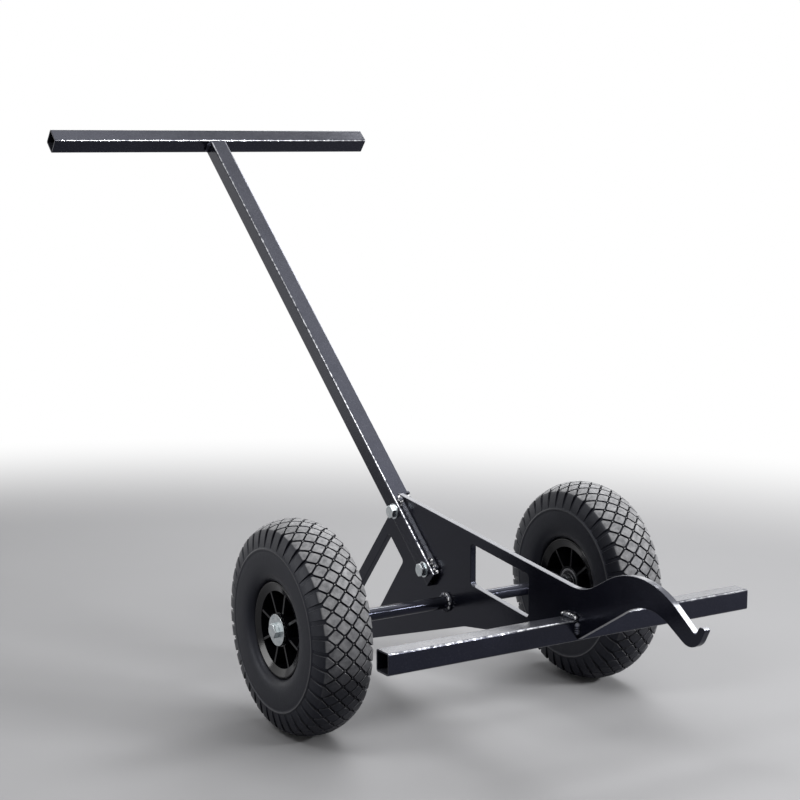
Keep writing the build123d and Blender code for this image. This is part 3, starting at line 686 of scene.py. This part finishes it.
# Tyres: 260 mm pneumatic tyres of moulded black rubber on the rims, dusty on top of the tread, with a painted
# sheen there.
# The tread is a lattice of diamond blocks with a small knob at each crossing, and a lug on each
# shoulder turns over the tread's edge and runs out at a ridge on the sidewall.
pitch_count = 40
side_rows = 2
tread_edge = 31.0 * MM
tread_edge_drop = 10.0 * MM
widest_drop = 44.0 * MM
shoulder_lean = math.radians(26.0)
wall_fullness = 1.3
bead_fullness = 1.2
bead_width = 25.7 * MM
bead_inside = 19.7 * MM
bead_radius = 58.8 * MM
bead_base = 51.3 * MM
tread_thickness = 8.5 * MM
tyre_wall = 4.5 * MM
hollow_shoulder = 2.0
hollow_crown_flat = 1.6
groove_depth = 3.0 * MM
lug_end_depth = 0.4 * MM
groove_width = 2.0 * MM
corner_cut = 0.9 * MM
knob_half = 1.0 * MM
knob_drop = 0.4 * MM
lug_half = 7.4 * MM
ridge_radius = 97.0 * MM
ridge_height = 0.9 * MM
ridge_half_width = 1.4 * MM
block_root = 0.8 * MM
block_flare = 0.15 * MM
block_chamfer = 0.45 * MM
turn_steps = 4
crown_points = 25
shoulder_points = 28
wall_points = 18
hollow_wall_points = 8
hollow_crown_points = 10
lug_tip_steps = 5
lug_side_steps = 6
rubber_black = (0.005, 0.0055, 0.009, 1)
rubber_grey = (0.009, 0.0095, 0.0145, 1)
road_dust_and_sheen_grey = (0.5, 0.5, 0.51, 1)
ridge_dust = 0.12
tyre_low, tyre_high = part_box("right_tyre")
tyre_half_width = 0.5 * (tyre_high.x - tyre_low.x)
wheel_centres = {joint["child"]: Vector(joint["pos_m"]) for joint in frame["joints"]}
wheel_radius = wheel_centres["right_wheel"].z
crown_radius = (tread_edge ** 2 + tread_edge_drop ** 2) / (2 * tread_edge_drop)
widest = wheel_radius - widest_drop
row_step = math.pi * wheel_radius / pitch_count
block_reach = row_step - groove_width / math.sqrt(2)


def bezier(start, start_handle, end_handle, end, count):
    """Points along a curve in the tyre's section, without its first point."""
    points = []
    for index in range(1, count + 1):
        t = index / count
        points.append((1 - t) ** 3 * start + 3 * t * (1 - t) ** 2 * start_handle
                      + 3 * t * t * (1 - t) * end_handle + t ** 3 * end)
    return points


def outer_section():
    """Half of the tyre's outside, from the crown to the bead, as points of width and radius."""
    points = []
    edge_angle = math.asin(tread_edge / crown_radius)
    for index in range(crown_points):
        angle = edge_angle * index / (crown_points - 1)
        points.append(Vector((crown_radius * math.sin(angle),
                              wheel_radius - crown_radius * (1 - math.cos(angle)))))
    edge = points[-1]
    side = Vector((tyre_half_width, widest))
    reach = (edge - side).length / 3
    points += bezier(edge, edge + reach * Vector((math.sin(shoulder_lean), -math.cos(shoulder_lean))),
                     side + Vector((0, reach)), side, shoulder_points)
    bead = Vector((bead_width, bead_radius))
    reach = (side - bead).length / 3
    points += bezier(side, side - Vector((0, wall_fullness * reach)),
                     bead + Vector((bead_fullness * reach, 0)), bead, wall_points)
    return points


section = outer_section()
section_runs = [0.0]
for point, following in zip(section, section[1:]):
    section_runs.append(section_runs[-1] + (following - point).length)
edge_run = section_runs[crown_points - 1]
ridge_index = min(range(crown_points, crown_points + shoulder_points),
                  key=lambda index: abs(section[index].y - ridge_radius))
ridge_run = section_runs[ridge_index]
lug_run = ridge_run - ridge_half_width


def on_section(run):
    """The place at a distance from the crown along the tyre's outside, and the outward direction there."""
    run = max(0.0, min(run, section_runs[-1] - 1e-6))
    index = bisect.bisect_right(section_runs, run) - 1
    share = (run - section_runs[index]) / (section_runs[index + 1] - section_runs[index])
    along = (section[index + 1] - section[index]).normalized()
    return section[index].lerp(section[index + 1], share), Vector((-along.y, along.x))


def on_tyre(turn, run, lift):
    """A point of the wheel: an angle round it, a distance across from the crown and a height."""
    place, outwards = on_section(abs(run))
    place = place + lift * outwards
    width = math.copysign(place.x, run)
    return Vector((width, place.y * math.sin(turn), place.y * math.cos(turn)))


def run_at(width):
    """The distance across the tread from the crown to a width."""
    return crown_radius * math.asin(max(-1.0, min(1.0, width / crown_radius)))


def tread_depth(run):
    """How far the carcass lies under the block tops at a distance across from the crown."""
    if run < edge_run:
        return groove_depth
    if run < lug_run:
        return groove_depth + (run - edge_run) / (lug_run - edge_run) * (lug_end_depth - groove_depth)
    return 0.0


def carcass_section():
    """The closed outline of the tyre under its blocks, both sides and the inside."""
    half = []
    for place, run in zip(section, section_runs):
        outwards = on_section(run)[1]
        near_ridge = max(0.0, 1.0 - ((run - ridge_run) / ridge_half_width) ** 2)
        half.append(place + (ridge_height * math.sqrt(near_ridge) - tread_depth(run)) * outwards)
    inside = [Vector((bead_width, bead_base)), Vector((bead_inside, bead_base))]
    hollow_side = Vector((tyre_half_width - tyre_wall, widest))
    hollow_crown = Vector((0, wheel_radius - tread_thickness))
    hollow_bead = Vector((bead_inside, bead_radius))
    reach = (hollow_side - hollow_bead).length / 3
    inside += [hollow_bead] + bezier(hollow_bead, hollow_bead + Vector((reach, reach)),
                                     hollow_side - Vector((0, reach)), hollow_side, hollow_wall_points)
    inside += bezier(hollow_side, hollow_side + Vector((0, hollow_shoulder * reach)),
                     hollow_crown + Vector((hollow_crown_flat * reach, 0)), hollow_crown,
                     hollow_crown_points)
    right = half + inside
    left = [Vector((-point.x, point.y)) for point in reversed(right[1:-1])]
    return right + left


def add_block(shape, middle_turn, outline, top):
    """A tread block with a chamfered top: its outline is in distances round and across the tread."""
    count = len(outline)
    centre = sum(outline, Vector((0, 0))) / count
    size = sum((corner - centre).length for corner in outline) / count
    rings = []
    for shrink, lift in ((block_chamfer, top), (0.0, top - block_chamfer),
                         (-block_flare, -groove_depth - block_root)):
        scaled = [centre + (corner - centre) * (1 - shrink / size) for corner in outline]
        rings.append([shape.verts.new(on_tyre(middle_turn + corner.x / wheel_radius, run_at(corner.y), lift))
                      for corner in scaled])
    for ring, below in zip(rings, rings[1:]):
        for index in range(count):
            after = (index + 1) % count
            shape.faces.new((ring[index], ring[after], below[after], below[index]))
    summit = shape.verts.new(on_tyre(middle_turn + centre.x / wheel_radius, run_at(centre.y), top))
    for index in range(count):
        shape.faces.new((rings[0][index], rings[0][(index + 1) % count], summit))
    shape.faces.new(rings[-1])


def add_lug(shape, middle_turn, way):
    """A shoulder lug: it widens from between two diamonds, turns over the edge and runs out at the ridge."""
    tip = (side_rows + 1) * row_step - block_reach
    stations = []
    for index in range(lug_tip_steps + 1):
        width = corner_cut + (lug_half - corner_cut) * index / lug_tip_steps
        stations.append((run_at(tip + width), width))
    stations += [(edge_run + (lug_run - edge_run) * index / lug_side_steps, lug_half)
                 for index in range(lug_side_steps + 1)]
    rows = []
    for run, width in stations:
        root = -tread_depth(run) - block_root
        inner = width - block_chamfer
        profile = ((-width, root), (-width, -block_chamfer), (-inner, 0.0),
                   (inner, 0.0), (width, -block_chamfer), (width, root))
        rows.append([on_tyre(middle_turn + round_it / wheel_radius, way * run, lift)
                     for round_it, lift in profile])
    skin_rows(shape, rows)


def split_edges(corners):
    """Halves an outline's edges, so that it can follow the tread's curve."""
    points = []
    for corner, following in zip(corners, corners[1:] + corners[:1]):
        points += [corner, corner.lerp(following, 0.5)]
    return points


def build_tread(shape):
    """All the blocks, knobs and lugs of one tyre."""
    pitch_turn = 2 * math.pi / pitch_count
    far = block_reach - corner_cut
    quarter = [(corner_cut, far), (far, corner_cut)]
    diamond = quarter + [(x, -y) for x, y in reversed(quarter)]
    diamond += [(-x, -y) for x, y in quarter] + [(-x, y) for x, y in reversed(quarter)]
    knob = [(x * knob_half, y * knob_half) for x, y in ((1, 1), (1, -1), (-1, -1), (-1, 1))]
    for row in range(-side_rows, side_rows + 1):
        offset = Vector((0, row * row_step))
        outline = split_edges([Vector(corner) + offset for corner in diamond])
        crossing = [Vector(corner) + offset for corner in knob]
        for index in range(pitch_count):
            turn = (index + 0.5 * (row % 2)) * pitch_turn
            add_block(shape, turn, outline, 0.0)
            add_block(shape, turn + 0.5 * pitch_turn, crossing, -knob_drop)
    for way in (-1, 1):
        for index in range(pitch_count):
            add_lug(shape, (index + 0.5) * pitch_turn, way)


def make_tyre_rubber(name, top_dust_and_sheen, wall_dust_and_highlight):
    """Dull moulded rubber: scuffed dust and a painted sheen on what faces the road and up, dust and a painted
    highlight on walls that face up, and a dusty ridge.
    """
    finish, tree, shader, spot = new_finish(name)
    axes = add_node(tree, "SeparateXYZ", {"Vector": spot}).outputs
    off_axle = add_node(tree, "CombineXYZ", {"Y": axes["Y"], "Z": axes["Z"]}).outputs["Vector"]
    radial = arrow(tree, "NORMALIZE", off_axle)
    radius = measure(tree, "LENGTH", off_axle)
    normal = add_node(tree, "TexCoord", {}).outputs["Normal"]
    outwards = measure(tree, "DOT_PRODUCT", normal, radial)
    on_road = span(tree, outwards, 0.0, 1.0, start=0.54, end=0.72, shape="SMOOTHSTEP")
    clouds = effect(tree, mottle, Position=spot, Scale=70.0, Contrast=2.0)
    scuffs = span(tree, effect(tree, mottle, Position=spot, Scale=150.0, Contrast=2.6), 0.45, 1.0)
    scuffed = calculate(tree, "MULTIPLY", on_road, scuffs)
    # Paler where the tread faces up: dust and a painted sheen.
    up_facing_dust_and_sheen = dust_and_sheen_lying(tree, spot, top_dust_and_sheen, none_at=-0.5, full_at=0.6)
    road_dust_and_sheen = calculate(tree, "MULTIPLY", scuffed, up_facing_dust_and_sheen)
    off_ridge = calculate(tree, "ABSOLUTE", calculate(tree, "SUBTRACT", radius, ridge_radius))
    on_ridge = span(tree, off_ridge, ridge_dust, 0.0, start=0.0, end=ridge_half_width)
    # Paler on walls that face up: dust and a painted highlight; the ridge's pale ring is dust.
    side_dust_and_highlight = calculate(tree, "MAXIMUM", on_ridge, dust_and_sheen_lying(tree, spot, wall_dust_and_highlight))
    # All the pale parts together: dust, painted sheen and painted highlights.
    dust = calculate(tree, "MAXIMUM", road_dust_and_sheen, side_dust_and_highlight)
    side_colour = blend_colours(tree, clouds, rubber_black, rubber_grey)
    feed(tree, shader.inputs["Base Color"], blend_colours(tree, dust, side_colour, road_dust_and_sheen_grey))
    feed(tree, shader.inputs["Roughness"], span(tree, on_road, 0.4, 0.5))
    rough_skin(tree, shader, spot, scale=380.0, strength=0.25, depth=0.5 * MM)
    shader.inputs["Specular IOR Level"].default_value = 0.24
    shader.inputs["Specular Tint"].default_value = (0.84, 0.88, 1.0, 1)
    return finish


tyre_rubber = make_tyre_rubber("tyre_rubber", top_dust_and_sheen=0.04, wall_dust_and_highlight=0.02)
tread_rubber = make_tyre_rubber("tread_rubber", top_dust_and_sheen=0.95, wall_dust_and_highlight=0.1)
tyre_outline = carcass_section()
steps = turn_steps * pitch_count
for side in ("right", "left"):
    body = f"{side}_wheel"
    carcass = bmesh.new()
    rows = []
    for index in range(steps):
        turn = 2 * math.pi * index / steps
        rows.append([Vector((point.x, point.y * math.sin(turn), point.y * math.cos(turn)))
                     for point in tyre_outline])
    skin_rows(carcass, rows, closed=True)
    tyre = new_piece(f"{side}_tyre_carcass", carcass, tyre_rubber)
    blocks = bmesh.new()
    build_tread(blocks)
    tread = new_piece(f"{side}_tyre_tread", blocks, tread_rubber)
    for piece in (tyre, tread):
        piece.location = wheel_centres[body]
        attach(piece, body)
    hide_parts(f"{side}_tyre")


# Axle ends: a spacer against the bearing, a wide washer and a bolt screwed into the axle.
# All are zinc plated steel, and keep the wheels on.
for node in ("axle_spacers", "axle_washers", "axle_bolts"):
    dress(node, zinc, edge_width=0.3)


# Studio: a plain pale floor that runs out into a white backdrop. The soft lamps hang overhead, at the
# cart's front and on both of its sides, and one stands behind it. The camera is in front of the cart
# on its right side, at waist height.
floor_half = 30.0
floor_gap = 0.2 * MM
floor_grey = (0.4, 0.4, 0.41, 1)
floor_pale = (0.44, 0.44, 0.45, 1)
fade_centre = (-0.6, -0.4, 0)
fade_start = 1.6
fade_end = 2.6
sky_light = 0.16
camera_tilt_down = 8.438
camera_roll = 0.033
camera_heading = -31.8


def seen_directly(tree):
    """1 for rays from the camera, from a gloss or through something clear, 0 for the light that falls."""
    ray = add_node(tree, "LightPath", {}).outputs
    seen = calculate(tree, "MAXIMUM", ray["Is Camera Ray"], ray["Is Glossy Ray"])
    return calculate(tree, "MAXIMUM", seen, ray["Is Transmission Ray"])


bpy.ops.mesh.primitive_grid_add(x_subdivisions=2, y_subdivisions=2, size=2 * floor_half)
floor = bpy.context.object
floor.name = "studio_floor"
floor.location = (0, 0, cad_box[0][2] - floor_gap)
floor_finish, floor_tree, floor_shader, floor_spot = new_finish("floor_paint")
floor_clouds = effect(floor_tree, mottle, Position=floor_spot, Scale=3.0, Contrast=0.6)
floor_colour = blend_colours(floor_tree, floor_clouds, floor_grey, floor_pale)
feed(floor_tree, floor_shader.inputs["Base Color"], floor_colour)
floor_shader.inputs["Roughness"].default_value = 0.85
floor_shader.inputs["Specular IOR Level"].default_value = 0.1
floor_distance = measure(floor_tree, "DISTANCE", floor_spot, fade_centre)
fade = span(floor_tree, floor_distance, 0.0, 1.0, fade_start, fade_end, "SMOOTHSTEP")
fade_seen = calculate(floor_tree, "MULTIPLY", fade, seen_directly(floor_tree))
white = add_node(floor_tree, "Emission", {"Color": (1, 1, 1, 1), "Strength": 1.0})
run_out = add_node(floor_tree, "MixShader", {0: fade_seen, 1: floor_shader.outputs["BSDF"],
                                             2: white.outputs["Emission"]})
floor_output = floor_tree.nodes["Material Output"]
floor_tree.links.new(run_out.outputs["Shader"], floor_output.inputs["Surface"])
floor.data.materials.append(floor_finish)

world = bpy.data.worlds.new("studio")
bpy.context.scene.world = world
world.use_nodes = True
sky = world.node_tree
background = sky.nodes["Background"]
background.inputs["Color"].default_value = (1, 1, 1, 1)
feed(sky, background.inputs["Strength"], span(sky, seen_directly(sky), sky_light, 1.0))


def add_lamp(name, place, aim, width, depth, power):
    """A soft rectangular lamp that points at a place."""
    lamp = bpy.data.lights.new(name, "AREA")
    lamp.shape = "RECTANGLE"
    lamp.size = width
    lamp.size_y = depth
    lamp.energy = power
    stand = bpy.data.objects.new(name, lamp)
    stand.location = place
    stand.rotation_euler = (Vector(aim) - Vector(place)).to_track_quat("-Z", "Y").to_euler()
    stand.visible_camera = False
    bpy.context.scene.collection.objects.link(stand)


add_lamp("overhead", (0.5, -0.5, 2.6), (0, 0, 0.2), width=2.4, depth=2.2, power=34)
add_lamp("front", (0.96, -1.8, 1.0), (-0.1, -0.1, 0.14), width=0.6, depth=0.18, power=27)
add_lamp("left_high", (-1.6, 0.0, 1.9), (0, 0, 0.2), width=0.7, depth=0.7, power=10)
add_lamp("left_low", (-3.2, 1.82, 0.34), (-0.25, -0.1, 0.13), width=1.44, depth=0.64, power=13)
add_lamp("right_high", (1.05, 0.9, 1.73), (0, -0.1, 0.15), width=0.9, depth=0.35, power=14)
add_lamp("back", (1.5, 2.1, 1.35), (0, -0.1, 0.25), width=2.4, depth=0.9, power=15)

camera = bpy.data.cameras.new("camera")
camera.lens = 77.84
camera.sensor_width = 36.0
tripod = bpy.data.objects.new("camera", camera)
tripod.location = (-1.16598, -1.86241, 0.69967)
tripod.rotation_euler = (math.radians(90 - camera_tilt_down), math.radians(camera_roll),
                         math.radians(camera_heading))
bpy.context.scene.collection.objects.link(tripod)
bpy.context.scene.camera = tripod
bpy.context.scene.view_settings.view_transform = "Standard"
